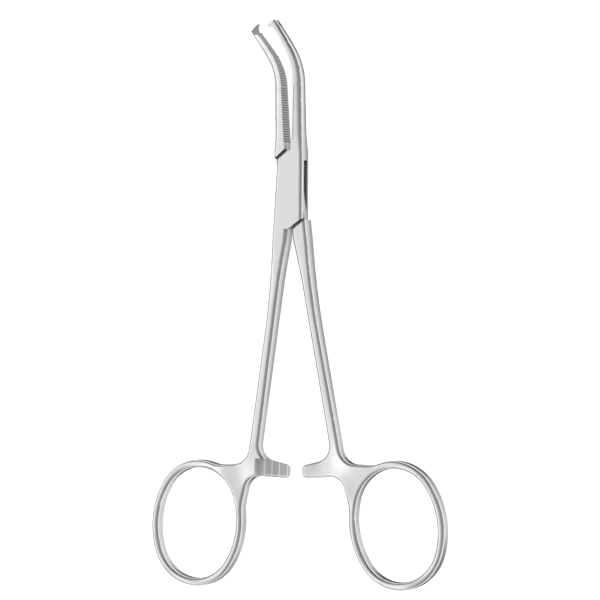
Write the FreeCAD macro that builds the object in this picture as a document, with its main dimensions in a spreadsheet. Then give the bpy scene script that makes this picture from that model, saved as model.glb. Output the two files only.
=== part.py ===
import FreeCAD, Part
import math
import os
from types import SimpleNamespace

import Sketcher

# Curved haemostatic forceps with a box lock, one-into-two tip teeth and a three-step ratchet.
# Two forged halves turn on a riveted pin.  Each half is drawn closed, with the pin's axis as Z,
# the tips towards +Y and the middle of the thickness at Z = 0.  Its Placement then lifts it onto
# the surface it lies on and turns it to the opening at which the instrument lies.

SIZES = [
    ("opening", 6.4, "angle between the halves as laid down, from tips touching"),
    ("box_thickness", 4.2, "thickness of the box lock, front face to back face"),
    ("box_half_width", 3.83, "from the pin's axis to the side of the box, level with the pin"),
    ("box_flare", 1.85, "how far each side of the box opens towards the handles, degrees"),
    ("jaw_inset", 0.04, "how far a jaw's root stands in from the faces of the box"),
    ("web_round", 8.0, "radius where the web runs into a ring"),
    ("edge_round", 0.9, "rounding along the sides of box, shanks and rings"),
    ("step_side", 7.0, "distance of each slanting shoulder from the pin, at the side"),
    ("step_mid", 9.75, "distance of each slanting shoulder from the pin, at the midline"),
    ("mid_gap", 0.2, "half the gap between the halves, where both are full thickness"),
    ("step_gap", 0.45, "clearance between the nested shoulders at the midline when closed"),
    ("step_gap_side", 0.9, "the same clearance at the sides, where the shoulders part as they open"),
    ("slot_height", 1.6, "height of the slot through the box"),
    ("slot_end", 7.4, "distance of each end wall of the slot from the pin"),
    ("tongue_play", 0.05, "clearance over and under the tongue in the slot"),
    ("tongue_end_play", 0.2, "clearance between the tongue's swinging corners and the slot's ends"),
    ("tongue_half_width", 3.4, "half width of the tongue"),
    ("tongue_facet", 14.0, "where the tongue's rounded end is faceted, degrees from the midline"),
    ("slot_lip", 0.05, "overlap of slot and tongue with the walls beside the midline"),
    ("pin_radius", 1.2, "radius of the riveted pin"),
    ("pin_seat", 0.01, "radial gap where the pin is riveted into the box"),
    ("pin_play", 0.05, "radial running clearance in the tongue's hole"),
    ("jaw_straight", 26.2, "from the pin to the start of the jaws' curve"),
    ("bend_radius", 15.0, "radius of the curve"),
    ("bend_angle", 31.0, "angle of the curve, degrees"),
    ("tip_radius", 73.0, "radius of the gentle curve from the bend to the tips"),
    ("tip_angle", 7.0, "angle of that gentle curve, degrees"),
    ("jaw_root", 14.0, "where the jaw has shed the section of the box"),
    ("jaw_width_root", 3.1, "width of a jaw there"),
    ("jaw_width_bend", 2.4, "width of a jaw at the start of the curve"),
    ("jaw_width_tip", 1.6, "width of a jaw at its tip"),
    ("jaw_depth_root", 3.75, "depth of a jaw at its root"),
    ("jaw_depth_bend", 3.5, "depth of a jaw at the start of the curve"),
    ("jaw_depth_tip", 2.4, "depth of a jaw at its tip"),
    ("jaw_round_root", 1.3, "rounding of a jaw's back at its root"),
    ("jaw_round_tip", 0.75, "rounding of a jaw's back at its tip"),
    ("relief_root", 0.3, "how far each biting face stands back from the midline at its root"),
    ("relief_bend", 0.1, "the same from the curve onwards"),
    ("groove_pitch", 0.6, "pitch of the cross serrations"),
    ("groove_depth", 0.22, "depth of the serrations"),
    ("groove_start", 12.2, "from the pin to the first serration"),
    ("tooth_height", 1.3, "how far a tip tooth stands past the biting line"),
    ("tooth_length", 1.6, "length of a tip tooth along the jaw"),
    ("tooth_width", 0.6, "width of the single tooth"),
    ("tooth_gap", 0.8, "gap between the two teeth that it enters"),
    ("teeth_span", 1.84, "over the two teeth"),
    ("tooth_end_gap", 0.15, "clearance behind each tooth when closed"),
    ("tooth_root", 0.3, "how far a tooth is sunk into the end of its jaw"),
    ("tooth_nose", 0.2, "rounding of a tooth's point"),
    ("tooth_hollow_round", 1.0, "rounding of the hollow in front of a tooth"),
    ("tooth_back_round", 2.5, "rounding of the end of a jaw behind its tooth"),
    ("shank_knee_x", 4.62, "outer edge of a shank where it starts to splay"),
    ("shank_knee_y", 27.0, "distance of that knee from the pin"),
    ("crotch", 12.2, "from the pin to where the shanks part"),
    ("inner_knee_x", 1.66, "inner edge of a shank at its second knee"),
    ("inner_knee_y", 21.2, "distance of that knee from the pin"),
    ("taper_start", 14.0, "where the shanks start to lose depth"),
    ("taper_end", 58.0, "where they reach the depth of the rings"),
    ("taper_round", 300.0, "rounding at both ends of that taper"),
    ("ring_x", 23.45, "centre of a finger ring, off the midline"),
    ("ring_y", 84.5, "centre of a finger ring, below the pin"),
    ("ring_half_width", 12.1, "half width of a ring, to the middle of its wire"),
    ("ring_half_length", 14.95, "half length of a ring, to the middle of its wire"),
    ("ring_end_radius", 11.3, "radius of a ring's ends, to the middle of its wire"),
    ("ring_tilt", 5.8, "lean of a ring's length towards the midline, degrees"),
    ("wire_width", 1.9, "width of a ring's wire"),
    ("wire_depth", 3.3, "depth of a ring's wire"),
    ("bar_reach", 1.7, "how far each ratchet bar passes the midline when closed"),
    ("shank_width", 3.0, "width of a shank where it runs into the bar"),
    ("crotch_round", 60.0, "rounding of a shank's outer edge below the box"),
    ("knee_round", 200.0, "rounding of its outer knee"),
    ("inner_knee_round", 120.0, "rounding of its inner knee"),
    ("inner_crotch_round", 10.0, "rounding of the crotch between the shanks"),
    ("web_corner_round", 4.5, "rounding of the corner between shank and web"),
    ("web_drop", 1.0, "how far the web's upper edge falls towards the ring"),
    ("bar_root_x", 6.7, "where a bar leaves its shank, off the midline"),
    ("bar_shift", 2.4, "how much further out its lower edge meets the web"),
    ("bar_corner_round", 3.9, "rounding of the corners between bar, shank and web"),
    ("bar_end_round", 1.2, "rounding of a bar's end"),
    ("bar_foot", 71.7, "lower edge of a bar, below the pin"),
    ("bar_root", 67.0, "upper edge of a bar where it leaves the shank, below the pin"),
    ("bar_tip", 68.5, "upper edge of a bar at its tip, below the pin"),
    ("bar_recess_x", 7.1, "where the bar is milled to half its depth, off the midline"),
    ("bar_recess_y", 67.2, "upper end of that milling, below the pin"),
    ("first_catch", 5.2, "first catch from the midline"),
    ("catch_pitch", 2.05, "pitch of the catches"),
    ("catch_height", 0.45, "height of a catch"),
    ("catch_play", 0.05, "from the crest of the catches to the middle of the thickness"),
    ("root_overlap", 0.5, "how far a jaw's root runs into the box, to join it"),
    ("web_reach", 5.0, "where the web meets its ring, off the ring's middle"),
    ("past_edge", 1.0, "how far a cut runs past the metal that it cuts"),
]

CATCHES = 3
TOOTH_HOLLOW = 0.35
TOOTH_NOSE = 0.25
STRAIGHT_SECTIONS = 6
BEND_SECTIONS = 4
TIP_SECTIONS = 4
THINNING = 1.3

# Edges are told apart by these: an edge sharper than SHARP degrees, a point within NEAR of its
# place, and a face whose normal leans less than UPRIGHT or more than LEVEL.
SHARP = 1.0
NEAR = 0.001
UPRIGHT = 0.05
LEVEL = 0.9


class Size:
    """A number together with the sheet formula that gives it."""

    def __init__(self, value, formula):
        self.value = value
        self.formula = formula

    def _with(self, other, sign, value):
        return Size(value, f"({self.formula} {sign} {as_size(other).formula})")

    def __add__(self, other):
        return self._with(other, "+", self.value + as_size(other).value)

    def __sub__(self, other):
        return self._with(other, "-", self.value - as_size(other).value)

    def __mul__(self, other):
        return self._with(other, "*", self.value * as_size(other).value)

    def __truediv__(self, other):
        return self._with(other, "/", self.value / as_size(other).value)

    def __radd__(self, other):
        return as_size(other) + self

    def __rsub__(self, other):
        return as_size(other) - self

    def __rmul__(self, other):
        return as_size(other) * self

    def __neg__(self):
        return self * -1


def as_size(number):
    return number if isinstance(number, Size) else Size(float(number), repr(number))


def sine(angle):
    return Size(math.sin(math.radians(angle.value)), f"sin({angle.formula})")


def cosine(angle):
    return Size(math.cos(math.radians(angle.value)), f"cos({angle.formula})")


def tangent(angle):
    return Size(math.tan(math.radians(angle.value)), f"tan({angle.formula})")


def root(number):
    return Size(math.sqrt(number.value), f"sqrt({number.formula})")


def make_sheet(doc):
    """Write the driving dimensions to the sheet and return them by name."""
    sheet = doc.addObject("Spreadsheet::Sheet", "sizes")
    for row, (name, value, note) in enumerate(SIZES, 1):
        sheet.set(f"A{row}", name)
        sheet.set(f"B{row}", str(value))
        sheet.setAlias(f"B{row}", name)
        sheet.set(f"C{row}", note)
    doc.recompute()
    names = [name for name, value, note in SIZES]
    return SimpleNamespace(**{name: Size(float(sheet.get(name)), f"sizes.{name}") for name in names})


def origin_plane(body, role):
    return next(feature for feature in body.Origin.OriginFeatures if feature.Role == role)


def new_sketch(body, name, role="XY_Plane", x=None, y=None, turn=None):
    """A sketch on one of the body's own planes, set over by x and y and turned about the pin's axis."""
    sketch = body.newObject("Sketcher::SketchObject", name)
    sketch.AttachmentSupport = [(origin_plane(body, role), "")]
    sketch.MapMode = "FlatFace"
    upright = role == "XZ_Plane"
    axis = FreeCAD.Vector(0, 1, 0) if upright else FreeCAD.Vector(0, 0, 1)
    angle = turn.value if turn else 0
    sketch.AttachmentOffset = FreeCAD.Placement(FreeCAD.Vector(0, 0, 0), FreeCAD.Rotation(axis, angle))
    if turn:
        sketch.setExpression("AttachmentOffset.Rotation.Angle", turn.formula)
    if x is not None:
        sketch.setExpression("AttachmentOffset.Base.x", x.formula)
    if y is not None and upright:
        sketch.setExpression("AttachmentOffset.Base.z", (-y).formula)
    if y is not None and not upright:
        sketch.setExpression("AttachmentOffset.Base.y", y.formula)
    return sketch


def pin_point(sketch, element, vertex, point):
    """Hold a point of the sketch at two sheet formulas, measured from the sketch's origin."""
    for kind, size in zip(("DistanceX", "DistanceY"), point):
        number = sketch.addConstraint(Sketcher.Constraint(kind, -1, 1, element, vertex, size.value))
        sketch.setExpression(f"Constraints[{number}]", size.formula)


def draw_outline(sketch, corners):
    """A closed outline of straight edges; a corner (x, y, radius) is rounded by a tangent arc."""
    points = [(as_size(corner[0]), as_size(corner[1])) for corner in corners]
    places = [FreeCAD.Vector(x.value, y.value, 0) for x, y in points]
    count = len(corners)
    starts, ends, arcs = [], [], []
    for index, place in enumerate(places):
        back = (places[index - 1] - place).normalize()
        ahead = (places[(index + 1) % count] - place).normalize()
        arc = None
        start = end = place
        if len(corners[index]) == 3:
            radius = as_size(corners[index][2])
            half = back.getAngle(ahead) / 2
            start = place + back * (radius.value / math.tan(half))
            end = place + ahead * (radius.value / math.tan(half))
            centre = place + (back + ahead).normalize() * (radius.value / math.sin(half))
            arc = (radius, centre, back.cross(ahead).z < 0)
        starts.append(start)
        ends.append(end)
        arcs.append(arc)
    for index in range(count):
        sketch.addGeometry(Part.LineSegment(ends[index], starts[(index + 1) % count]))
    for index, arc in enumerate(arcs):
        before = (index - 1) % count
        if arc is None:
            sketch.addConstraint(Sketcher.Constraint("Coincident", before, 2, index, 1))
            pin_point(sketch, index, 1, points[index])
            continue
        radius, centre, leftward = arc
        first, last = (starts[index], ends[index]) if leftward else (ends[index], starts[index])
        angles = [math.atan2(at.y - centre.y, at.x - centre.x) for at in (first, last)]
        circle = Part.Circle(centre, FreeCAD.Vector(0, 0, 1), radius.value)
        curve = sketch.addGeometry(Part.ArcOfCircle(circle, angles[0], angles[1]))
        enter, leave = (1, 2) if leftward else (2, 1)
        sketch.addConstraint(Sketcher.Constraint("Tangent", before, 2, curve, enter))
        sketch.addConstraint(Sketcher.Constraint("Tangent", curve, leave, index, 1))
        number = sketch.addConstraint(Sketcher.Constraint("Radius", curve, radius.value))
        sketch.setExpression(f"Constraints[{number}]", radius.formula)
        corner = sketch.addGeometry(Part.Point(places[index]), True)
        pin_point(sketch, corner, 1, points[index])
        sketch.addConstraint(Sketcher.Constraint("PointOnObject", corner, 1, before))
        sketch.addConstraint(Sketcher.Constraint("PointOnObject", corner, 1, index))


def draw_oval(sketch, half_width, half_length, end_radius):
    """A four-centred oval about the sketch's origin: two end arcs, two flatter side arcs."""
    end_centre = half_length - end_radius
    inset = half_width - end_radius
    side_centre = (end_centre * end_centre - inset * inset) / (2 * inset)
    side_radius = half_width + side_centre
    reach = math.hypot(side_centre.value, end_centre.value)
    across = side_centre.value / reach
    along = end_centre.value / reach
    side = math.atan2(along, across)
    up = FreeCAD.Vector(0, 0, 1)
    arcs = [
        (as_size(0), end_centre, end_radius, side, math.pi - side),
        (side_centre, as_size(0), side_radius, math.pi - side, math.pi + side),
        (as_size(0), -end_centre, end_radius, math.pi + side, -side),
        (-side_centre, as_size(0), side_radius, -side, side),
    ]
    for x, y, radius, start, end in arcs:
        circle = Part.Circle(FreeCAD.Vector(x.value, y.value, 0), up, radius.value)
        sketch.addGeometry(Part.ArcOfCircle(circle, start, end))
    for index, (x, y, radius, start, end) in enumerate(arcs):
        sketch.addConstraint(Sketcher.Constraint("Tangent", index, 2, (index + 1) % len(arcs), 1))
    for index in (0, 1, 2):
        pin_point(sketch, index, 3, arcs[index][:2])
    for kind, element, vertex, length in (("DistanceX", 3, 3, -side_centre), ("Radius", 0, None, end_radius)):
        place = (-1, 1, element, vertex, length.value) if vertex else (element, length.value)
        number = sketch.addConstraint(Sketcher.Constraint(kind, *place))
        sketch.setExpression(f"Constraints[{number}]", length.formula)


def pad(body, name, sketch, height):
    """Thicken a sketch equally to both sides."""
    feature = body.newObject("PartDesign::Pad", name)
    feature.Profile = sketch
    feature.Midplane = True
    feature.setExpression("Length", height.formula)
    body.Document.recompute()
    return feature


def pocket(body, name, sketch, depth=None, both=False, reverse=False):
    """Cut a sketch away, to a depth or right through, and make sure that it cut something."""
    before = body.Shape.Volume
    feature = body.newObject("PartDesign::Pocket", name)
    feature.Profile = sketch
    feature.Midplane = both
    feature.Reversed = reverse
    if depth is None:
        feature.Type = "ThroughAll"
    else:
        feature.setExpression("Length", depth.formula)
    body.Document.recompute()
    if not body.Shape.Volume < before:
        raise RuntimeError(f"{name} cuts nothing")
    return feature


def crease_angle(shape, edge):
    """Angle between the two faces that meet at an edge, in degrees."""
    faces = shape.ancestorsOfType(edge, Part.Face)
    middle = edge.valueAt((edge.FirstParameter + edge.LastParameter) / 2)
    normals = []
    for face in faces:
        u, v = face.Surface.parameter(middle)
        normals.append(face.normalAt(u, v))
    if len(normals) < 2:
        return 0
    return math.degrees(normals[0].getAngle(normals[1]))


def is_upright(edge):
    first, last = edge.Vertexes[0].Point, edge.Vertexes[-1].Point
    return math.hypot(first.x - last.x, first.y - last.y) < NEAR < abs(first.z - last.z)


def round_edges(body, name, chosen, radius):
    """Fillet each edge of the body for which chosen(shape, edge) is true."""
    shape = body.Shape
    base = body.Tip
    names = [f"Edge{number}" for number, edge in enumerate(shape.Edges, 1) if chosen(shape, edge)]
    feature = body.newObject("PartDesign::Fillet", name)
    feature.Base = (base, names)
    feature.setExpression("Radius", radius.formula)
    body.Document.recompute()
    return feature


def wall_and_face(shape, edge):
    """True where an upright wall meets the front or the back of a forging."""
    slopes = []
    middle = edge.valueAt((edge.FirstParameter + edge.LastParameter) / 2)
    for face in shape.ancestorsOfType(edge, Part.Face):
        u, v = face.Surface.parameter(middle)
        slopes.append(abs(face.normalAt(u, v).z))
    return len(slopes) == 2 and min(slopes) < UPRIGHT and max(slopes) > LEVEL


def box_side(size, y):
    """Distance of the box's flared side from the midline at a height y."""
    return size.box_half_width - y * tangent(size.box_flare)


def biting_line(size, bend=None, tip=None):
    """A point of the closed jaws' biting line and its turn to the left, by angle along each curve."""
    bend = as_size(0) if bend is None else bend
    x = -size.bend_radius * (1 - cosine(bend))
    y = size.jaw_straight + size.bend_radius * sine(bend)
    if tip is None:
        return x, y, bend
    turn = bend + tip
    x = x - size.tip_radius * (cosine(bend) - cosine(turn))
    y = y + size.tip_radius * (sine(turn) - sine(bend))
    return x, y, turn


def jaw_sections(size, low):
    """Stations of a jaw from low to tip: place, turn, width, depth, rounding, relief."""
    nothing = as_size(0)
    inset = size.jaw_inset
    stations = []
    for y in (low, size.step_mid):
        stations.append((nothing, y, nothing, box_side(size, y) - inset, size.box_thickness - 2 * inset,
                         size.edge_round, size.relief_root))
    straight = size.jaw_straight - size.jaw_root
    for step in range(STRAIGHT_SECTIONS + 1):
        share = round(step / STRAIGHT_SECTIONS, 4)
        y = size.jaw_root + straight * share
        width = size.jaw_width_root + (size.jaw_width_bend - size.jaw_width_root) * share
        depth = size.jaw_depth_root + (size.jaw_depth_bend - size.jaw_depth_root) * share
        relief = size.relief_root + (size.relief_bend - size.relief_root) * share
        stations.append((nothing, y, nothing, width, depth, size.jaw_round_root, relief))
    curve = [(size.bend_angle * (step / BEND_SECTIONS), None) for step in range(1, BEND_SECTIONS + 1)]
    curve += [(size.bend_angle, size.tip_angle * (step / TIP_SECTIONS)) for step in range(1, TIP_SECTIONS + 1)]
    bend_run = size.bend_radius.value * size.bend_angle.value
    whole = bend_run + size.tip_radius.value * size.tip_angle.value
    for bend, tip in curve:
        run = size.bend_radius.value * bend.value
        run += size.tip_radius.value * tip.value if tip else 0
        share = round(run / whole, 4)
        x, y, turn = biting_line(size, bend, tip)
        width = size.jaw_width_bend + (size.jaw_width_tip - size.jaw_width_bend) * share
        depth = size.jaw_depth_bend + (size.jaw_depth_tip - size.jaw_depth_bend) * round(share ** THINNING, 4)
        rounding = size.jaw_round_root + (size.jaw_round_tip - size.jaw_round_root) * share
        stations.append((x, y, turn, width, depth, rounding, size.relief_bend))
    return stations


def add_jaw(body, size, side, low):
    """Loft a jaw through D-shaped sections: a flat biting face and a rounded back."""
    sketches = []
    for number, station in enumerate(jaw_sections(size, low), 1):
        x, y, turn, width, depth, rounding, relief = station
        sketch = new_sketch(body, f"jaw_section_{number}", "XZ_Plane", x, y, turn if turn.value else None)
        half = depth / 2
        draw_outline(sketch, [(side * relief, -half), (side * width, -half, rounding),
                              (side * width, half, rounding), (side * relief, half)])
        sketches.append(sketch)
    for name, stretch, ruled in (("jaw_root", sketches[:3], True), ("jaw", sketches[2:], False)):
        loft = body.newObject("PartDesign::AdditiveLoft", name)
        loft.Profile = stretch[0]
        loft.Sections = stretch[1:]
        loft.Ruled = ruled
        body.Document.recompute()
    return loft


def groove_outline(size, side, base):
    """A V-shaped serration whose mouth is one pitch wide at the biting face."""
    mouth = size.groove_pitch / 2
    over = size.groove_pitch
    flank = mouth * (size.groove_depth + over) / size.groove_depth
    apex = base + side * size.groove_depth
    return [(apex, 0), (base - side * over, flank), (base - side * over, -flank)]


def cut_serrations(body, size, side):
    """Cross serrations: one row up the straight face, one round the bend, one to the tooth."""
    nothing = as_size(0)
    climb = size.jaw_straight - size.groove_start
    share = (size.groove_start - size.jaw_root).value / (size.jaw_straight - size.jaw_root).value
    start_relief = size.relief_root + (size.relief_bend - size.relief_root) * round(max(share, 0), 4)
    lean = math.degrees(math.atan2((start_relief - size.relief_bend).value, climb.value))
    rows = [
        ("straight", side * start_relief, size.groove_start, Size(side * lean, repr(side * lean)),
         nothing, None, int(climb.value / size.groove_pitch.value)),
    ]
    bend_x = -size.bend_radius
    rows.append(("bend", bend_x, size.jaw_straight, None, size.bend_radius + side * size.relief_bend,
                 size.bend_radius, int(size.bend_radius.value * math.radians(size.bend_angle.value)
                                       / size.groove_pitch.value)))
    tip_x, tip_y, turn = biting_line(size, size.bend_angle)
    tip_run = size.tip_radius.value * math.radians(size.tip_angle.value) - size.tooth_length.value
    rows.append(("tip", tip_x - size.tip_radius * cosine(turn), tip_y - size.tip_radius * sine(turn), turn,
                 size.tip_radius + side * size.relief_bend, size.tip_radius,
                 int(tip_run / size.groove_pitch.value)))
    for name, x, y, turn, base, radius, count in rows:
        sketch = new_sketch(body, f"groove_{name}", "XY_Plane", x, y, turn)
        draw_outline(sketch, groove_outline(size, side, base))
        groove = pocket(body, f"first_groove_{name}", sketch, size.box_thickness, both=True)
        kind = "PartDesign::PolarPattern" if radius else "PartDesign::LinearPattern"
        row = body.newObject(kind, f"serrations_{name}")
        row.Originals = [groove]
        row.Occurrences = count
        if radius:
            row.Axis = (sketch, ["N_Axis"])
            step = size.groove_pitch / radius * (180 / math.pi)
            row.setExpression("Angle", (step * (count - 1)).formula)
        else:
            row.Direction = (sketch, ["V_Axis"])
            row.setExpression("Length", (size.groove_pitch * (count - 1)).formula)
        body.Tip = row
        body.Document.recompute()


def cut_end_of_jaw(body, size, side, single):
    """Tip teeth: a single fin on one jaw, and two fins with a gap between them on the other."""
    x, y, turn = biting_line(size, size.bend_angle, size.tip_angle)
    length = size.tooth_length + size.tooth_end_gap
    notch = new_sketch(body, "tooth_notch", "XY_Plane", x, y, turn)
    past = size.tooth_height
    draw_outline(notch, [(-side * past, -length), (side * (size.jaw_width_tip + past), -length),
                         (side * (size.jaw_width_tip + past), past), (-side * past, past)])
    fin = new_sketch(body, "tooth_outline", "XY_Plane", x, y, turn)
    height = size.tooth_height
    root_y = -size.tooth_length
    inner = side * size.relief_bend
    draw_outline(fin, [
        (side * size.jaw_width_tip, 0),
        (side * size.jaw_width_tip, -length - size.tooth_root),
        (side * (size.relief_bend + size.tooth_root), -length - size.tooth_root),
        (inner, root_y),
        (-side * height * TOOTH_HOLLOW, root_y * TOOTH_HOLLOW, size.tooth_hollow_round),
        (-side * height, -size.tooth_end_gap),
        (-side * height * (1 - TOOTH_NOSE), size.tooth_nose / 2, size.tooth_nose),
        (side * size.jaw_width_tip * TOOTH_HOLLOW, size.tooth_nose, size.tooth_back_round),
    ])
    if single:
        pocket(body, "end_relief", notch, size.box_thickness, both=True)
        pad(body, "tooth", fin, size.tooth_width)
    else:
        pad(body, "teeth", fin, size.teeth_span)
        pocket(body, "tooth_gap", notch, size.tooth_gap, both=True)


def add_handle(body, size, side, step_gap, side_gap):
    """Shank, ratchet bar, web and finger ring as one forging, rounded along every edge."""
    plan = new_sketch(body, "handle_plan")
    mid = size.mid_gap
    low = size.step_mid + step_gap
    web_top = size.ring_y - size.ring_half_length - size.wire_width / 2
    web_foot = size.ring_y - size.wire_width
    draw_outline(plan, [
        (side * mid, -low),
        (side * box_side(size, -size.step_side), -(size.step_side + side_gap)),
        (side * box_side(size, -size.crotch), -size.crotch, size.crotch_round),
        (side * size.shank_knee_x, -size.shank_knee_y, size.knee_round),
        (side * (size.bar_root_x + size.shank_width), -web_top, size.web_corner_round),
        (side * (size.ring_x - size.web_reach), -(web_top + size.web_drop)),
        (side * size.ring_x, -web_foot),
        (side * (size.ring_x - size.ring_half_width), -web_foot),
        (side * (size.bar_root_x + size.bar_shift), -size.bar_foot, size.bar_corner_round),
        (-side * size.bar_reach, -size.bar_foot, size.bar_end_round),
        (-side * size.bar_reach, -size.bar_tip, size.bar_end_round),
        (side * size.bar_root_x, -size.bar_root, size.bar_corner_round),
        (side * size.inner_knee_x, -size.inner_knee_y, size.inner_knee_round),
        (side * mid, -size.crotch, size.inner_crotch_round),
    ])
    pad(body, "handle", plan, size.box_thickness)
    turn = size.ring_tilt * side
    disc = new_sketch(body, "ring_outside", "XY_Plane", side * size.ring_x, -size.ring_y, turn)
    half_wire = size.wire_width / 2
    draw_oval(disc, size.ring_half_width + half_wire, size.ring_half_length + half_wire,
              size.ring_end_radius + half_wire)
    pad(body, "ring_blank", disc, size.box_thickness)
    reach = (size.ring_half_length + size.wire_width).value
    centre = FreeCAD.Vector(side * size.ring_x.value, -size.ring_y.value, 0)

    def at_ring(shape, edge):
        place = edge.CenterOfMass
        return is_upright(edge) and place.distanceToPoint(centre) < reach and crease_angle(shape, edge) > SHARP

    round_edges(body, "web", at_ring, size.web_round)


def cut_ring(body, size, side):
    """Open the ring, then bring shank and ring down to their depth."""
    turn = size.ring_tilt * side
    half_wire = size.wire_width / 2
    hole = new_sketch(body, "ring_inside", "XY_Plane", side * size.ring_x, -size.ring_y, turn)
    draw_oval(hole, size.ring_half_width - half_wire, size.ring_half_length - half_wire,
              size.ring_end_radius - half_wire)
    pocket(body, "ring_opening", hole, size.box_thickness, both=True)
    half = size.box_thickness / 2
    end = size.ring_y + size.ring_half_length * 2
    for name, sign in (("front", 1), ("back", -1)):
        profile = new_sketch(body, f"depth_profile_{name}", "YZ_Plane")
        draw_outline(profile, [
            (-size.taper_start, sign * half, size.taper_round),
            (-size.taper_end, sign * size.wire_depth / 2, size.taper_round),
            (-end, sign * size.wire_depth / 2),
            (-end, sign * size.box_thickness),
            (0, sign * size.box_thickness),
            (0, sign * half),
        ])
        pocket(body, f"depth_{name}", profile, size.ring_y * 2, both=True)


def round_forging(body, size):
    """Round the sides of box, shank, bar and ring, front and back, but not the shoulders."""

    def along_side(shape, edge):
        place = edge.CenterOfMass
        by_box = abs(place.y) < (size.step_mid + size.step_gap + size.mid_gap).value
        inside = abs(place.x) < (box_side(size, as_size(place.y)) - size.mid_gap).value
        return wall_and_face(shape, edge) and not (by_box and inside)

    round_edges(body, "rounding", along_side, size.edge_round)


def add_plates(body, size):
    """The two plates of the box with their slanting shoulders, as one block before it is slotted."""
    plates = new_sketch(body, "box_plan")
    side, mid = size.step_side, size.step_mid
    foot = side + size.past_edge
    draw_outline(plates, [
        (-size.mid_gap, mid),
        (-box_side(size, side), side),
        (-box_side(size, -foot), -foot),
        (-size.mid_gap, -mid),
        (size.mid_gap, -mid),
        (box_side(size, -side), -side),
        (box_side(size, mid), mid),
    ])
    pad(body, "plates", plates, size.box_thickness)


def cut_slot(body, size):
    """The slot through the box: it leaves one wall at the jaw and one at the shank."""
    slot = new_sketch(body, "slot_plan")
    out = size.box_half_width * 2
    far = size.crotch + size.past_edge
    lip = size.mid_gap - size.slot_lip
    end = size.slot_end
    draw_outline(slot, [(out, end), (lip, end), (lip, far), (-out, far),
                        (-out, -end), (-lip, -end), (-lip, -far), (out, -far)])
    pocket(body, "slot", slot, size.slot_height, both=True)


def add_tongue(body, size):
    """The tongue that passes through the box, its swinging corners rounded about the pin."""
    tongue = new_sketch(body, "tongue_plan")
    half = size.tongue_half_width
    swing = size.slot_end - size.tongue_end_play
    corner = root(swing * swing - half * half)
    lip = size.mid_gap + size.slot_lip
    far = size.crotch
    facet = size.tongue_facet
    draw_outline(tongue, [(half, -far), (half, corner), (swing * sine(facet), swing * cosine(facet)),
                          (-lip, swing), (-lip, far), (-half, far), (-half, -corner),
                          (-swing * sine(facet), -swing * cosine(facet)), (lip, -swing), (lip, -far)])
    pad(body, "tongue", tongue, size.slot_height - 2 * size.tongue_play)


def cut_ratchet(body, size, side, facing):
    """Mill the bar to half its depth and leave three catches, steep towards the shank."""
    profile = new_sketch(body, "ratchet_profile", "XZ_Plane", None, -size.bar_recess_y)
    crest = -facing * size.catch_play
    floor = crest - facing * size.catch_height
    clear = facing * size.box_thickness
    end = -side * (size.bar_reach + size.past_edge)
    corners = [(side * size.bar_recess_x, clear), (side * size.bar_recess_x, floor)]
    for number in range(CATCHES):
        x = side * (size.first_catch - size.catch_pitch * number)
        corners += [(x, floor), (x, crest)]
    corners += [(end, floor), (end, clear)]
    draw_outline(profile, corners)
    length = size.bar_foot - size.bar_recess_y + size.past_edge
    pocket(body, "ratchet", profile, length, reverse=True)


def bore(body, size, radius):
    hole = new_sketch(body, "pin_hole")
    circle = hole.addGeometry(Part.Circle(FreeCAD.Vector(0, 0, 0), FreeCAD.Vector(0, 0, 1), radius.value))
    hole.addConstraint(Sketcher.Constraint("Coincident", circle, 3, -1, 1))
    number = hole.addConstraint(Sketcher.Constraint("Radius", circle, radius.value))
    hole.setExpression(f"Constraints[{number}]", radius.formula)
    return hole


def lay_down(body, size, turn):
    """Lift a body from the middle of the thickness and turn it to the opening at rest."""
    axis = FreeCAD.Vector(0, 0, 1)
    body.Placement = FreeCAD.Placement(FreeCAD.Vector(0, 0, 0), FreeCAD.Rotation(axis, turn.value))
    body.setExpression("Placement.Base.z", (size.box_thickness / 2).formula)
    body.setExpression("Placement.Rotation.Angle", turn.formula)


def make_box_half(doc, size):
    """The half with the box: right jaw, plates, left shank and ring."""
    body = doc.addObject("PartDesign::Body", "box_half")
    add_handle(body, size, -1, as_size(0), as_size(0))
    add_plates(body, size)
    cut_ring(body, size, -1)
    round_forging(body, size)
    add_jaw(body, size, 1, size.step_mid - size.root_overlap)
    cut_slot(body, size)
    pocket(body, "pin_seat", bore(body, size, size.pin_radius + size.pin_seat), size.box_thickness, both=True)
    cut_ratchet(body, size, -1, 1)
    cut_serrations(body, size, 1)
    cut_end_of_jaw(body, size, 1, False)
    lay_down(body, size, -size.opening / 2)
    return body


def make_tongue_half(doc, size):
    """The half with the tongue: left jaw, tongue, right shank and ring."""
    body = doc.addObject("PartDesign::Body", "tongue_half")
    add_handle(body, size, 1, size.step_gap, size.step_gap_side)
    cut_ring(body, size, 1)
    round_forging(body, size)
    add_jaw(body, size, -1, size.step_side - size.root_overlap)
    step = new_sketch(body, "shoulder")
    gap, out, low = size.step_gap, size.box_half_width * 2, size.slot_end / 2
    run = box_side(size, size.step_side) - size.mid_gap
    slope = (size.step_mid + gap - size.step_side - size.step_gap_side) / run
    reach = out - size.mid_gap
    draw_outline(step, [(0, low), (0, size.step_mid + gap), (-size.mid_gap, size.step_mid + gap),
                        (-out, size.step_mid + gap - reach * slope), (-out, low)])
    pocket(body, "jaw_shoulder", step, size.box_thickness, both=True)
    add_tongue(body, size)
    pocket(body, "pin_hole_cut", bore(body, size, size.pin_radius + size.pin_play), size.box_thickness, both=True)
    cut_ratchet(body, size, 1, -1)
    cut_serrations(body, size, -1)
    cut_end_of_jaw(body, size, -1, True)
    lay_down(body, size, size.opening / 2)
    return body


def make_pin(doc, size):
    """The pin: a plain rivet, ground flush with both faces of the box."""
    body = doc.addObject("PartDesign::Body", "pivot_pin")
    pad(body, "shaft", bore(body, size, size.pin_radius), size.box_thickness)
    lay_down(body, size, -size.opening / 2)
    return body


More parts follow.
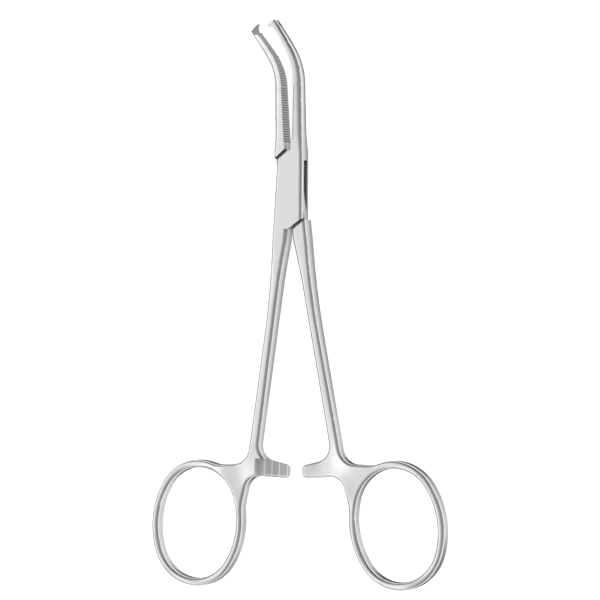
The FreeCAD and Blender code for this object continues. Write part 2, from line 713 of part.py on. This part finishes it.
def check(doc, bodies):
    """Stop if any object failed or any piece isn't one sound solid."""
    for item in doc.Objects:
        if "Invalid" in item.State or "Error" in item.State:
            raise RuntimeError(f"{item.Label} is in state {item.State}")
    for body in bodies:
        shape = body.Shape
        if shape.isNull() or not shape.isValid() or len(shape.Solids) != 1:
            raise RuntimeError(f"{body.Label} isn't one sound solid")


def main():
    doc = FreeCAD.newDocument("haemostatic_forceps")
    size = make_sheet(doc)
    bodies = [make_box_half(doc, size), make_tongue_half(doc, size), make_pin(doc, size)]
    doc.recompute()
    check(doc, bodies)
    os.makedirs("parts", exist_ok=True)
    for body in bodies:
        body.Shape.exportStep(f"parts/{body.Label}.step")
        box = body.Shape.BoundBox
        print(body.Label, round(body.Shape.Volume, 2), box)


main()
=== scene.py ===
import math

import bpy
from mathutils import Matrix, Vector


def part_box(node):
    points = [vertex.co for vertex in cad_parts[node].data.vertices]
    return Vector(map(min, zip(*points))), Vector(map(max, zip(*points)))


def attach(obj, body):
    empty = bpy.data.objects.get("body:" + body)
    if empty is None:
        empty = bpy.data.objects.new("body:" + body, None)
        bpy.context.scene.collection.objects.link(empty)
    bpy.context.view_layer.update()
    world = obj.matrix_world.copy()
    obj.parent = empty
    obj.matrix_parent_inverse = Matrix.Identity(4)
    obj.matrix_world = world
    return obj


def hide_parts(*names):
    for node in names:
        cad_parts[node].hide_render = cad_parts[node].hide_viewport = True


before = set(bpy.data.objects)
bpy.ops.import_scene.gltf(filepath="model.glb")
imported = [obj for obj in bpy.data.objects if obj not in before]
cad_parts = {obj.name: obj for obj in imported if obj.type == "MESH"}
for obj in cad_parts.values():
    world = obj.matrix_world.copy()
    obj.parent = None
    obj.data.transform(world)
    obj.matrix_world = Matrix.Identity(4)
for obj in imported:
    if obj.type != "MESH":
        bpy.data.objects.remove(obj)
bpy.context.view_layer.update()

# The forceps lie on a pale table and are seen from above, as in a product photograph.
# Lengths are in metres, and MM turns millimetres into them. X runs across the instrument, Y along
# it towards the tips and Z up, and the pivot pin stands at the origin.
MM = 0.001
MIDDLE = (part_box("pivot_pin")[0][2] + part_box("pivot_pin")[1][2]) / 2

# The view: how far the camera looks from straight above, which way up its picture is, and
# where the pivot pin falls in a picture of IMAGE_SIZE by IMAGE_SIZE pixels.
IMAGE_SIZE = 600
PIVOT_PIXEL = (291.8, 189.8)
PIXELS_PER_MM = 4.0245
CAMERA_DISTANCE = 945 * MM
SIDE_TILT = math.radians(28.45)
ROLL = math.radians(0.93)
SENSOR = 36.0
SEEN_FROM = 10 * MM
SEEN_TO = 20.0

# The room's light, as grey by the angle from straight up towards the right, in degrees up to
# HALF_TURN, and by how far a direction points beyond the tips, up to STRAIGHT_ON. Each range of
# greys comes with two stops, and the others are added HALFWAY before all are put in place.
ROOM_STRENGTH = 1.75
HALF_TURN = 180
ACROSS_ROOM = ((-100, 0.2), (-82, 0.28), (-64, 0.38), (-55, 0.7), (-44, 0.95), (-36, 0.86),
               (-29, 0.56), (-14, 0.5), (0, 0.36), (12, 0.27), (30, 0.23), (60, 0.2),
               (88, 0.18), (100, 0.16))
STRAIGHT_ON = 1
ALONG_ROOM = ((-1.0, 0.5), (-0.6, 1.0), (0.3, 1.0), (0.55, 0.8), (0.75, 0.3), (1.0, 0.1))
HALFWAY = 0.5

# The table: its size, how far it lies under the forceps, and its acrylic's gloss and glow.
FLOOR_SIZE = 6.0
FLOOR_DROP = 0.02 * MM
FLOOR_ROUGHNESS = 0.9
FLOOR_GLOSS = 0.2
FLOOR_GLOW = 0.72

# The order of a half's finishes, after the satin steel that most of it has.
MILLED = 1
BITING = 2
SAWN_AND_SHADED = 3

# Points closer than WELD become one. Facets that meet at less than CORNER are shaded as one
# surface, and on the milled bars, where shallow steps meet, at less than MILLED_CORNER.
WELD = 0.01 * MM
CORNER = math.radians(24)
MILLED_CORNER = math.radians(5)

# Where the ratchet bars are milled: the stretch along the instrument, the reach off the midline,
# and how far the cut goes from mid-thickness. A bar's own sides, which lean more than SIDE_LEAN
# along the instrument, aren't milled.
MILLED_FROM = -73.5 * MM
MILLED_TO = -65 * MM
MILLED_END = -1.6 * MM
MILLED_ROOT = 7.2 * MM
MILLED_DEPTH = 0.95 * MM
SIDE_LEAN = 0.5

# The catches, in a half's own directions, which are turned from the laid ones by HALF_OPENING:
# the first crest, the distance from crest to crest, the reach of the last one in such distances,
# and the share of each that carries a painted highlight along its crest.
HALF_OPENING = math.radians(3.2)
FIRST_CATCH = 5.2 * MM
CATCH_PITCH = 2.05 * MM
LAST_CATCH = 2.5
CREST_HIGHLIGHT = 0.1

# The bars' foot and end carry painted highlights too.
# Each band is a middle and a reach either side.
FOOT_HIGHLIGHT = (71.24 * MM, 0.14 * MM)
END_HIGHLIGHT = (-1.26 * MM, 0.14 * MM)

# Cutter's marks and saw marks: their grain, the stretch of the pattern that is used, and the
# roughness it gives. The bar's root is rougher still, and part of its metal gives way to pale
# paint: painted light that lifts the shade in its corner.
MARK_DETAIL = 3.0
MARK_STRETCH = (0.3, 0.7)
CUTTER_MARK = 0.2 * MM
MILLED_ROUGHNESS = (0.4, 0.5)
ROOT_ROUGHER = 0.45
ROOT_LIGHT_LIFT = 0.5
SAW_MARK = 0.3 * MM
SAWN_ROUGHNESS = (0.42, 0.55)

# The lock's inner faces, which are painted dark as shade. A shoulder's normal leans more than
# SHOULDER_LEAN along the instrument, and a level face's rises more than LEVEL.
SHOULDER_LEAN = 0.45
SHOULDER_FROM = 5.5 * MM
SHOULDER_TO = 11 * MM
LOCK_HALF = 4.7 * MM
LEVEL = 0.9

# The slot through the box, from the pin to its ends and their corners, and from mid-thickness to
# its ceiling.
SLOT_END = 7.6 * MM
SLOT_CORNER = 8.36 * MM
SLOT_HALF = 0.82 * MM

# The biting faces start at the box and look across at each other, leaning a little to the tips.
# They darken from BITE_BRIGHT to BITE_DARK, and a serration's flank whose normal rises more than
# FLANK_RISE towards the tips is painted darker still, as painted shade. The left jaw's single
# tooth is cut like them.
BITE_START = 11.5 * MM
BITE_LEAN = math.radians(37)
BITE_BRIGHT = 27 * MM
BITE_DARK = 35 * MM
FLANK_RISE = 0.35
BITE_ROUGHNESS = 0.14
TOOTH_START = 38.5 * MM

# Satin polish: grooves about LINE_WIDTH apart and far longer, with cloudy patches. Together they
# range over POLISH_STRETCH and give the steel SATIN_ROUGHNESS.
LINE_WIDTH = 0.25 * MM
LINE_SQUEEZE = (1.0, 0.05, 1.0)
LINE_DETAIL = 3.0
LINE_CRISPNESS = 0.6
LINE_SHARE = 0.6
CLOUD_SIZE = 6 * MM
CLOUD_DETAIL = 2.0
POLISH_STRETCH = (0.5, 1.1)
SATIN_ROUGHNESS = (0.15, 0.24)
GROOVE_DEPTH = 0.01 * MM
GROOVE_STRENGTH = 0.12

# The hammer's swell in rings and webs: where it starts and is full, its size and its depth. The
# rings are brushed a little rougher. DRAFT is how much the sides turn in below the parting line.
SWELL_START = -50 * MM
SWELL_FULL = -68 * MM
SWELL_SIZE = 9 * MM
SWELL_DEPTH = 1.35 * MM
RING_ROUGHER = 0.05
DRAFT = 0.12

# The serrations run out over the rounded inner edge of the right jaw's front: their dark ends
# are painted shade, beside a strip painted as a highlight. Each band is a middle and a reach
# either side, along the jaw or off the midline, and the edge leans EDGE_LEAN to the midline.
ENDS_ALONG = (19.15 * MM, 6.85 * MM)
EDGE_LEAN = 0.0148
HIGHLIGHT_STRIP = (0.542 * MM, 0.26 * MM)
SHADED_ENDS = (0.912 * MM, 0.13 * MM)
SERRATION_PITCH = 0.6 * MM
SERRATION_PHASE = 0.087
ENDS_SHARE = 0.5


def linear(hex_colour):
    """An sRGB hex colour as the linear values that shaders take, by the sRGB standard's curve."""
    values = [int(hex_colour[place:place + 2], 16) / 255 for place in (1, 3, 5)]
    return [v / 12.92 if v <= 0.04045 else ((v + 0.055) / 1.055) ** 2.4 for v in values] + [1.0]


def add_node(tree, kind, settings, *in_order):
    """Add a shader node. The settings are its properties and sockets by name, and the values after
    them fill its sockets in their order. A node that is given as a value lends its first output."""
    node = tree.nodes.new(kind)
    for name, value in settings.items():
        if name not in node.inputs:
            setattr(node, name, value)
    named = [(node.inputs[name], value) for name, value in settings.items() if name in node.inputs]
    ordered = zip([socket for socket in node.inputs if socket.enabled], in_order)
    for socket, value in [*named, *ordered]:
        if isinstance(value, bpy.types.Node):
            value = next(output for output in value.outputs if output.enabled)
        if isinstance(value, bpy.types.NodeSocket):
            tree.links.new(value, socket)
        else:
            socket.default_value = value
    return node


def new_material(name):
    """An empty material and its node tree."""
    material = bpy.data.materials.new(name)
    material.use_nodes = True
    material.node_tree.nodes.clear()
    return material, material.node_tree


def satin_steel():
    """Hardened stainless steel, satin polished: bright soft reflections, fine lengthwise lines."""
    material, tree = new_material("satin_polished_stainless_steel")
    place = add_node(tree, "ShaderNodeTexCoord", {}).outputs["Object"]
    axes = add_node(tree, "ShaderNodeSeparateXYZ", {"Vector": place})
    # Polishing lines run along the instrument, and handling and cleaning leave cloudy patches.
    squeezed = add_node(tree, "ShaderNodeMapping", {"Scale": LINE_SQUEEZE, "Vector": place})
    lines = add_node(tree, "ShaderNodeTexNoise", {
        "Scale": 1 / LINE_WIDTH, "Detail": LINE_DETAIL, "Roughness": LINE_CRISPNESS,
        "Vector": squeezed})
    clouds = add_node(tree, "ShaderNodeTexNoise", {
        "Scale": 1 / CLOUD_SIZE, "Detail": CLOUD_DETAIL, "Vector": place})
    polish = add_node(tree, "ShaderNodeMath", {"operation": "MULTIPLY_ADD"},
                      lines, LINE_SHARE, clouds)
    rough = add_node(tree, "ShaderNodeMapRange", {}, polish, *POLISH_STRETCH, *SATIN_ROUGHNESS)
    # Ring and web keep the hammer's gentle swell and are brushed by hand, so they shine less than
    # the box and jaws, which are ground true.
    hammered = add_node(tree, "ShaderNodeMapRange", {}, axes.outputs["Y"], SWELL_START, SWELL_FULL)
    swell = add_node(tree, "ShaderNodeTexNoise", {
        "Scale": 1 / SWELL_SIZE, "Detail": 0.0, "Vector": place})
    wave = add_node(tree, "ShaderNodeBump", {
        "invert": True, "Distance": SWELL_DEPTH, "Height": swell, "Strength": hammered})
    roughness = add_node(tree, "ShaderNodeMath", {"operation": "MULTIPLY_ADD"},
                         hammered, RING_ROUGHER, rough)
    # Below the parting line the dies' draft turns the sides a little towards the table, except on
    # the rings.
    height = add_node(tree, "ShaderNodeMath", {"operation": "SUBTRACT"}, axes.outputs["Z"], MIDDLE)
    below = add_node(tree, "ShaderNodeMath", {"operation": "MINIMUM"}, height, 0.0)
    slope = add_node(tree, "ShaderNodeMapRange", {}, hammered, 0.0, 1.0, DRAFT, 0.0)
    inward = add_node(tree, "ShaderNodeMath", {"operation": "MULTIPLY"}, below, slope)
    draft = add_node(tree, "ShaderNodeBump", {
        "Strength": 1.0, "Distance": 1.0, "Height": inward, "Normal": wave})
    grooves = add_node(tree, "ShaderNodeBump", {
        "Strength": GROOVE_STRENGTH, "Distance": GROOVE_DEPTH, "Height": lines, "Normal": draft})
    # Along the right jaw's inner edge: a painted highlight strip, painted shade at serration ends.
    turned = add_node(tree, "ShaderNodeMapping", {
        "Rotation": (0.0, 0.0, HALF_OPENING), "Vector": place})
    own = add_node(tree, "ShaderNodeSeparateXYZ", {"Vector": turned})
    along = own.outputs["Y"]
    off = add_node(tree, "ShaderNodeMath", {"operation": "MULTIPLY_ADD"},
                   along, EDGE_LEAN, own.outputs["X"])
    stretch = add_node(tree, "ShaderNodeMath", {"operation": "COMPARE"}, along, *ENDS_ALONG)
    in_highlight_strip = add_node(tree, "ShaderNodeMath", {"operation": "COMPARE"}, off, *HIGHLIGHT_STRIP)
    in_shaded_row = add_node(tree, "ShaderNodeMath", {"operation": "COMPARE"}, off, *SHADED_ENDS)
    cuts = add_node(tree, "ShaderNodeMath", {"operation": "MULTIPLY_ADD"},
                    along, 1 / SERRATION_PITCH, SERRATION_PHASE)
    cut = add_node(tree, "ShaderNodeMath", {"operation": "FRACT"}, cuts)
    is_end = add_node(tree, "ShaderNodeMath", {"operation": "LESS_THAN"}, cut, ENDS_SHARE)
    shaded_row = add_node(tree, "ShaderNodeMath", {"operation": "MULTIPLY"}, in_shaded_row, is_end)
    highlight_strip = add_node(tree, "ShaderNodeMath", {"operation": "MULTIPLY"}, stretch, in_highlight_strip)
    shaded_ends = add_node(tree, "ShaderNodeMath", {"operation": "MULTIPLY"}, stretch, shaded_row)
    edge_highlight = add_node(tree, "ShaderNodeMix", {"data_type": "RGBA"},
                      highlight_strip, linear("#D6D6D7"), linear("#F4F4F5"))
    tone = add_node(tree, "ShaderNodeMix", {"data_type": "RGBA"}, shaded_ends, edge_highlight, linear("#383839"))
    # The tint makes steel reflect less where it is seen almost edge on.
    steel = add_node(tree, "ShaderNodeBsdfPrincipled", {
        "Metallic": 1.0, "Specular Tint": linear("#282828"), "Roughness": roughness,
        "Normal": grooves, "Base Color": tone})
    add_node(tree, "ShaderNodeOutputMaterial", {"Surface": steel})
    return material


def milled_steel():
    """Stainless steel as the cutter left it, dull, with painted highlights along crests, foot
    and end.
    """
    material, tree = new_material("milled_stainless_steel")
    place = add_node(tree, "ShaderNodeTexCoord", {}).outputs["Object"]
    # The bars are mirror images on the rings' side of the pin, so both share one pattern on the
    # distances off the midline and from the pin.
    off = add_node(tree, "ShaderNodeVectorMath", {"operation": "ABSOLUTE"}, place)
    turned = add_node(tree, "ShaderNodeMapping", {
        "Rotation": (0.0, 0.0, HALF_OPENING), "Vector": off})
    own = add_node(tree, "ShaderNodeSeparateXYZ", {"Vector": turned})
    left = add_node(tree, "ShaderNodeMath", {"operation": "SUBTRACT"},
                    FIRST_CATCH, own.outputs["X"])
    step = add_node(tree, "ShaderNodeMath", {"operation": "DIVIDE"}, left, CATCH_PITCH)
    share = add_node(tree, "ShaderNodeMath", {"operation": "FRACT"}, step)
    crest_highlight = add_node(tree, "ShaderNodeMath", {"operation": "LESS_THAN"}, share, CREST_HIGHLIGHT)
    catches = add_node(tree, "ShaderNodeMath", {"operation": "LESS_THAN"}, step, LAST_CATCH)
    crest_highlights = add_node(tree, "ShaderNodeMath", {"operation": "MULTIPLY"}, crest_highlight, catches)
    foot = add_node(tree, "ShaderNodeMath", {"operation": "COMPARE"}, own.outputs["Y"], *FOOT_HIGHLIGHT)
    end = add_node(tree, "ShaderNodeMath", {"operation": "COMPARE"}, own.outputs["X"], *END_HIGHLIGHT)
    rim_highlights = add_node(tree, "ShaderNodeMath", {"operation": "MAXIMUM"}, foot, end)
    highlights = add_node(tree, "ShaderNodeMath", {"operation": "MAXIMUM"}, crest_highlights, rim_highlights)
    # The bar's root, before the first catch, is out of the polisher's reach and rough. It is
    # painted pale and less metallic: painted light that lifts the shade in its corner.
    root = add_node(tree, "ShaderNodeMath", {"operation": "LESS_THAN"}, step, 0.0)
    painted_light = add_node(tree, "ShaderNodeMath", {"operation": "MAXIMUM"}, highlights, root)
    # Crests, foot and end take the paler grey as painted highlights.
    tone = add_node(tree, "ShaderNodeMix", {"data_type": "RGBA"},
                    painted_light, linear("#BEBEBF"), linear("#F2F2F3"))
    marks = add_node(tree, "ShaderNodeTexNoise", {
        "Scale": 1 / CUTTER_MARK, "Detail": MARK_DETAIL, "Vector": place})
    rough = add_node(tree, "ShaderNodeMapRange", {}, marks, *MARK_STRETCH, *MILLED_ROUGHNESS)
    roughness = add_node(tree, "ShaderNodeMath", {"operation": "MULTIPLY_ADD"},
                         root, ROOT_ROUGHER, rough)
    # Less metal at the root lets its pale paint show, as painted light.
    metal_share = add_node(tree, "ShaderNodeMath", {"operation": "MULTIPLY_ADD"}, root, -ROOT_LIGHT_LIFT, 1.0)
    steel = add_node(tree, "ShaderNodeBsdfPrincipled", {
        "Metallic": metal_share, "Roughness": roughness, "Base Color": tone})
    add_node(tree, "ShaderNodeOutputMaterial", {"Surface": steel})
    return material


def biting_steel():
    """Stainless steel of the jaws' biting faces: cut, not polished, and darker to the tips."""
    material, tree = new_material("serrated_stainless_steel")
    spot = add_node(tree, "ShaderNodeTexCoord", {})
    axes = add_node(tree, "ShaderNodeSeparateXYZ", {"Vector": spot.outputs["Object"]})
    share = add_node(tree, "ShaderNodeMapRange", {}, axes.outputs["Y"], BITE_BRIGHT, BITE_DARK)
    tone = add_node(tree, "ShaderNodeMix", {"data_type": "RGBA"},
                    share, linear("#A2A2A3"), linear("#909091"))
    # The flanks that look towards the tips are painted darker: painted shade.
    facing = add_node(tree, "ShaderNodeSeparateXYZ", {"Vector": spot.outputs["Normal"]})
    shaded_flanks = add_node(tree, "ShaderNodeMath", {"operation": "GREATER_THAN"},
                     facing.outputs["Y"], FLANK_RISE)
    flank_shade = add_node(tree, "ShaderNodeMix", {"data_type": "RGBA"}, shaded_flanks, tone, linear("#6A6A6B"))
    steel = add_node(tree, "ShaderNodeBsdfPrincipled", {
        "Metallic": 1.0, "Roughness": BITE_ROUGHNESS, "Base Color": flank_shade})
    add_node(tree, "ShaderNodeOutputMaterial", {"Surface": steel})
    return material


def slot_steel():
    """Stainless steel inside the lock, sawn and filed, never polished: dull, and painted dark
    as the shade inside the lock.
    """
    material, tree = new_material("sawn_stainless_steel_painted_shade")
    place = add_node(tree, "ShaderNodeTexCoord", {}).outputs["Object"]
    marks = add_node(tree, "ShaderNodeTexNoise", {
        "Scale": 1 / SAW_MARK, "Detail": MARK_DETAIL, "Vector": place})
    rough = add_node(tree, "ShaderNodeMapRange", {}, marks, *MARK_STRETCH, *SAWN_ROUGHNESS)
    steel = add_node(tree, "ShaderNodeBsdfPrincipled", {
        "Base Color": linear("#9A9A9A"), "Metallic": 1.0, "Roughness": rough})
    add_node(tree, "ShaderNodeOutputMaterial", {"Surface": steel})
    return material


def white_acrylic():
    """The table: a sheet of translucent white acrylic, matt on top and lit faintly from below."""
    material, tree = new_material("backlit_white_acrylic")
    acrylic = add_node(tree, "ShaderNodeBsdfPrincipled", {
        "Base Color": linear("#F7F7F7"), "Roughness": FLOOR_ROUGHNESS,
        "Specular IOR Level": FLOOR_GLOSS, "Emission Color": linear("#FFFFFF"),
        "Emission Strength": FLOOR_GLOW})
    add_node(tree, "ShaderNodeOutputMaterial", {"Surface": acrylic})
    return material


def in_milling(face):
    """True for a face the cutter left on a ratchet bar: a land, a catch or the root's wall."""
    x, y, z = face.center
    out = abs(x) * math.cos(HALF_OPENING) + y * math.sin(HALF_OPENING)
    return MILLED_FROM < y < MILLED_TO and MILLED_END < out < MILLED_ROOT \
        and abs(z - MIDDLE) < MILLED_DEPTH and abs(face.normal.y) < SIDE_LEAN


def in_slot(face):
    """True for a face on the walls of the slot through the box."""
    x, y, z = face.center
    return math.hypot(x, y) < SLOT_CORNER and abs(y) < SLOT_END and abs(z - MIDDLE) < SLOT_HALF


def in_gap(face):
    """True for a face inside the lock: a shoulder or a level face of the tongue."""
    x, y, z = (abs(value) for value in face.center - Vector((0, 0, MIDDLE)))
    shoulder = abs(face.normal.y) > SHOULDER_LEAN and SHOULDER_FROM < y < SHOULDER_TO
    tongue = abs(face.normal.z) > LEVEL and z < SLOT_HALF and y < SHOULDER_TO
    return x < LOCK_HALF and (shoulder or tongue)


def in_bite(face, facing):
    """True for a face that looks across at the other jaw, facing +1 to the right or -1 to the
    left, and for the left jaw's tooth all round."""
    across = Vector((math.cos(BITE_LEAN), math.sin(BITE_LEAN), 0)) * facing
    looks = face.center.y > BITE_START and across.dot(face.normal) > abs(face.normal.z)
    return looks or (facing > 0 and face.center.y > TOOTH_START)


def soften(mesh):
    """Give every face's corners the mean normal, by area, of the faces that meet it smoothly."""
    around = [[] for _ in mesh.vertices]
    for face in mesh.polygons:
        for vertex in face.vertices:
            around[vertex].append((face.normal.copy(), face.area))
    normals = []
    for face in mesh.polygons:
        near = math.cos(MILLED_CORNER if in_milling(face) else CORNER)
        for vertex in face.vertices:
            total = Vector()
            for normal, area in around[vertex]:
                if face.normal.dot(normal) > near:
                    total += normal * area
            normals.append(total.normalized() if total.length else face.normal)
    mesh.normals_split_custom_set(normals)


def smooth_copy(node, body, finishes, facing=0):
    """A piece with the node's own form: its facets merged, shaded as the smooth forging that they
    follow, and finished place by place."""
    bpy.ops.object.select_all(action="DESELECT")
    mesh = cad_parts[node].data.copy()
    piece = bpy.data.objects.new(f"{node}_forging", mesh)
    bpy.context.scene.collection.objects.link(piece)
    bpy.context.view_layer.objects.active = piece
    piece.select_set(True)
    bpy.ops.object.mode_set(mode="EDIT")
    bpy.ops.mesh.select_all(action="SELECT")
    bpy.ops.mesh.remove_doubles(threshold=WELD)
    bpy.ops.mesh.dissolve_degenerate(threshold=WELD)
    bpy.ops.object.mode_set(mode="OBJECT")
    bpy.ops.object.shade_smooth()
    soften(mesh)
    mesh.materials.clear()
    for finish in finishes:
        mesh.materials.append(finish)
    for face in mesh.polygons:
        if in_milling(face):
            face.material_index = MILLED
        elif in_bite(face, facing):
            face.material_index = BITING
        # Faces inside the lock take the dark sawn steel, painted dark as shade.
        elif in_gap(face) or (facing < 0 and in_slot(face)):
            face.material_index = SAWN_AND_SHADED
    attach(piece, body)
    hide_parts(node)


def make_camera():
    """Put the camera so that the pivot pin falls on its pixel, at the photograph's scale."""
    right = Vector((math.cos(SIDE_TILT), 0, -math.sin(SIDE_TILT)))
    back = Vector((math.sin(SIDE_TILT), 0, math.cos(SIDE_TILT)))
    up = Vector((0, 1, 0))
    across = right * math.cos(ROLL) - up * math.sin(ROLL)
    upward = up * math.cos(ROLL) + right * math.sin(ROLL)
    low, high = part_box("pivot_pin")
    pivot = (Vector(low) + Vector(high)) / 2
    off_x = (PIVOT_PIXEL[0] - IMAGE_SIZE / 2) / PIXELS_PER_MM * MM
    off_y = (IMAGE_SIZE / 2 - PIVOT_PIXEL[1]) / PIXELS_PER_MM * MM
    stand = pivot - across * off_x - upward * off_y + back * CAMERA_DISTANCE
    data = bpy.data.cameras.new("camera")
    data.sensor_width = SENSOR
    data.lens = SENSOR * PIXELS_PER_MM * CAMERA_DISTANCE / MM / IMAGE_SIZE
    data.clip_start = SEEN_FROM
    data.clip_end = SEEN_TO
    camera = bpy.data.objects.new("camera", data)
    bpy.context.scene.collection.objects.link(camera)
    turn = Matrix((across, upward, back)).transposed().to_4x4()
    camera.matrix_world = Matrix.Translation(stand) @ turn
    bpy.context.scene.camera = camera


def make_floor():
    """The table top, just under the forceps."""
    bpy.ops.object.select_all(action="DESELECT")
    bpy.ops.mesh.primitive_plane_add(size=FLOOR_SIZE, location=(0, 0, -FLOOR_DROP))
    floor = bpy.context.object
    floor.name = "table_top"
    floor.data.materials.append(white_acrylic())


def make_light():
    """A room of soft light: white cloth high on the left, dimmer overhead and to the right, and a
    dim wall beyond the tips."""
    world = bpy.data.worlds.new("studio")
    bpy.context.scene.world = world
    world.use_nodes = True
    tree = world.node_tree
    tree.nodes.clear()
    ways = add_node(tree, "ShaderNodeTexCoord", {}).outputs["Generated"]
    axes = add_node(tree, "ShaderNodeSeparateXYZ", {"Vector": ways})
    lean = add_node(tree, "ShaderNodeMath", {"operation": "ARCTAN2"},
                    axes.outputs["X"], axes.outputs["Z"])
    degrees = add_node(tree, "ShaderNodeMath", {"operation": "DEGREES"}, lean)
    shades = []
    for way, reach, stops in ((degrees, HALF_TURN, ACROSS_ROOM),
                              (axes.outputs["Y"], STRAIGHT_ON, ALONG_ROOM)):
        share = add_node(tree, "ShaderNodeMapRange", {}, way, -reach, reach)
        shade = add_node(tree, "ShaderNodeValToRGB", {}, share)
        points = shade.color_ramp.elements
        while len(points) < len(stops):
            points.new(HALFWAY)
        for point, (place, grey) in zip(points, stops):
            point.position = (place + reach) / (2 * reach)
            point.color = (grey, grey, grey, 1.0)
        shades.append(shade)
    both = add_node(tree, "ShaderNodeMix", {"data_type": "RGBA", "blend_type": "MULTIPLY"},
                    1.0, *shades)
    glow = add_node(tree, "ShaderNodeBackground", {"Color": both, "Strength": ROOM_STRENGTH})
    add_node(tree, "ShaderNodeOutputWorld", {"Surface": glow})
    bpy.context.scene.view_settings.view_transform = "Standard"


make_camera()
steels = (satin_steel(), milled_steel(), biting_steel(), slot_steel())
smooth_copy("box_half", "box_body", steels, -1)
smooth_copy("tongue_half", "tongue_body", steels, 1)
smooth_copy("pivot_pin", "box_body", steels[:1])
make_floor()
make_light()
